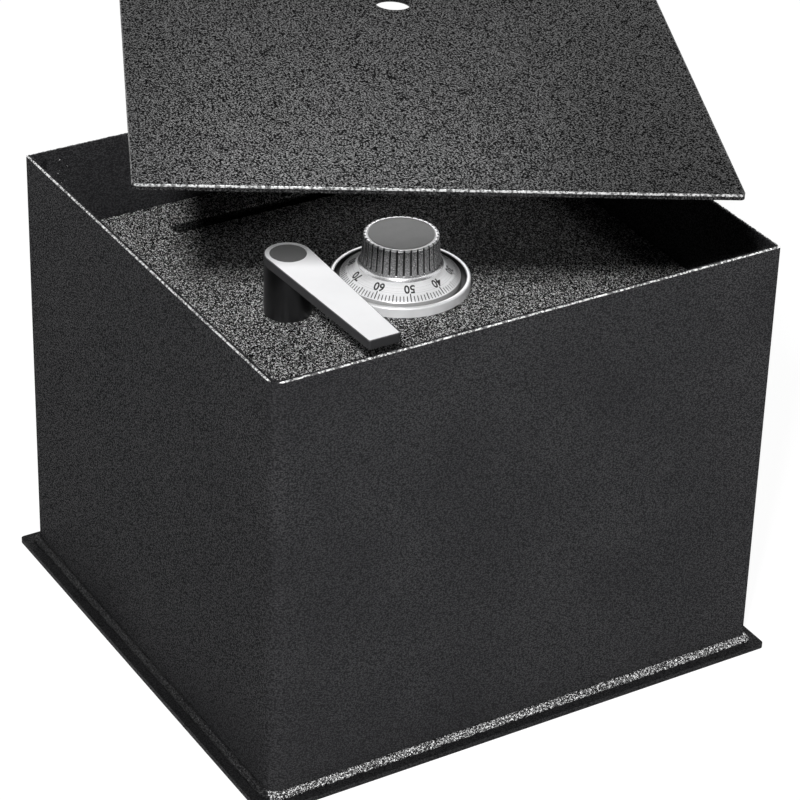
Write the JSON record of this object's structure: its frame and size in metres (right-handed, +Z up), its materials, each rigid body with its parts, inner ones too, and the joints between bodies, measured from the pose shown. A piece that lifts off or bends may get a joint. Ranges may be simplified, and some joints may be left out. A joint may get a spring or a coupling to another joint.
{
  "type": "floor safe",
  "caption": "Welded steel floor safe with a sunk hinged door, lever handle, combination dial, deposit slot and lift-off cover plate.",
  "frame": {"origin": "centre of the underside of the base plate", "axes": "+Z up out of the box, -Y the front wall that the lever points at, +X to the right seen from the front"},
  "size_m": [0.3914, 0.3805, 0.3602],
  "materials": {
    "wall_paint": "black leather-grain powder coat",
    "door_paint": "black sparkle-textured powder coat",
    "cover_paint": "black fine-textured powder coat",
    "satin_metal": "satin chrome plate",
    "inlay": "dark grey satin disc",
    "bright_steel": "turned steel",
    "zinc_plate": "zinc-plated sheet steel",
    "brass": "machined brass"
  },
  "bodies": {
    "safe_body": {"base_plate": "wall_paint", "shell_front_left": "wall_paint", "shell_back_right": "wall_paint", "seam_welds": "wall_paint", "foot_weld": "wall_paint", "ledge_front": "wall_paint", "ledge_left": "wall_paint", "ledge_right": "wall_paint", "cover_tabs": "wall_paint", "hinge_blocks": "wall_paint", "hinge_pins": "bright_steel"},
    "door": {"door_plate": "door_paint", "hinge_ears": "door_paint", "slot_baffle": "door_paint", "bolt_guide": "zinc_plate", "guide_studs": "bright_steel", "handle_bush": "brass", "dial_ring": "satin_metal", "lock_case": "zinc_plate", "lock_cover": "zinc_plate", "lock_screws": "bright_steel", "wheel_post": "brass"},
    "handle": {"handle_hub": "satin_metal", "handle_lever": "satin_metal", "handle_inlay": "inlay", "handle_spindle": "bright_steel", "handle_crank": "zinc_plate", "crank_pin": "bright_steel", "spindle_nut": "bright_steel"},
    "carriage": {"bolt_carriage": "zinc_plate", "locking_bolts": "bright_steel", "bolt_nuts": "bright_steel"},
    "lock_bolt_body": {"lock_bolt": "brass", "fence_lever": "bright_steel", "lever_screw": "bright_steel"},
    "dial": {"dial_disc": "satin_metal", "dial_knob": "satin_metal", "knob_inlay": "inlay", "dial_spindle": "bright_steel", "drive_cam": "brass"},
    "wheel_1_body": {"wheel_1": "brass"},
    "wheel_2_body": {"wheel_2": "brass"},
    "wheel_3_body": {"wheel_3": "brass"},
    "cover": {"cover_plate": "cover_paint"}
  },
  "joints": [
    {"name": "door_swing", "type": "hinge", "parent": "safe_body", "child": "door", "pos_m": [0, 0.098, 0.2], "axis": [-1, 0, 0], "range_deg": [0, 95]},
    {"name": "handle_turn", "type": "hinge", "parent": "door", "child": "handle", "pos_m": [-0.0705, -0.0055, 0.25], "axis": [0, 0, 1], "range_deg": [0, 60]},
    {"name": "bolt_slide", "type": "slide", "parent": "door", "child": "carriage", "axis": [0, -1, 0], "range_m": [0, 0.0141]},
    {"name": "lock_bolt_slide", "type": "slide", "parent": "door", "child": "lock_bolt_body", "axis": [0, -1, 0], "range_m": [0, 0.0131]},
    {"name": "dial_spin", "type": "hinge", "parent": "door", "child": "dial", "pos_m": [0, -0.007, 0.2], "axis": [0, 0, 1], "continuous": true},
    {"name": "wheel_1_spin", "type": "hinge", "parent": "door", "child": "wheel_1_body", "pos_m": [0, -0.007, 0.2], "axis": [0, 0, 1], "continuous": true},
    {"name": "wheel_2_spin", "type": "hinge", "parent": "door", "child": "wheel_2_body", "pos_m": [0, -0.007, 0.2], "axis": [0, 0, 1], "continuous": true},
    {"name": "wheel_3_spin", "type": "hinge", "parent": "door", "child": "wheel_3_body", "pos_m": [0, -0.007, 0.2], "axis": [0, 0, 1], "continuous": true},
    {"name": "cover_lift", "type": "slide", "parent": "safe_body", "child": "cover", "axis": [0, 0, 1], "range_m": [0, 0.17]}
  ],
  "couplings": [
    {"joint": "bolt_slide", "follows": "handle_turn", "m_per_rad": 0.013369},
    {"joint": "lock_bolt_slide", "follows": "handle_turn", "m_per_rad": 0.012414},
    {"joint": "wheel_1_spin", "follows": "dial_spin", "ratio": 1},
    {"joint": "wheel_2_spin", "follows": "dial_spin", "ratio": 1},
    {"joint": "wheel_3_spin", "follows": "dial_spin", "ratio": 1},
    {"joint": "cover_lift", "follows": "door_swing", "m_per_rad": 0.1}
  ]
}
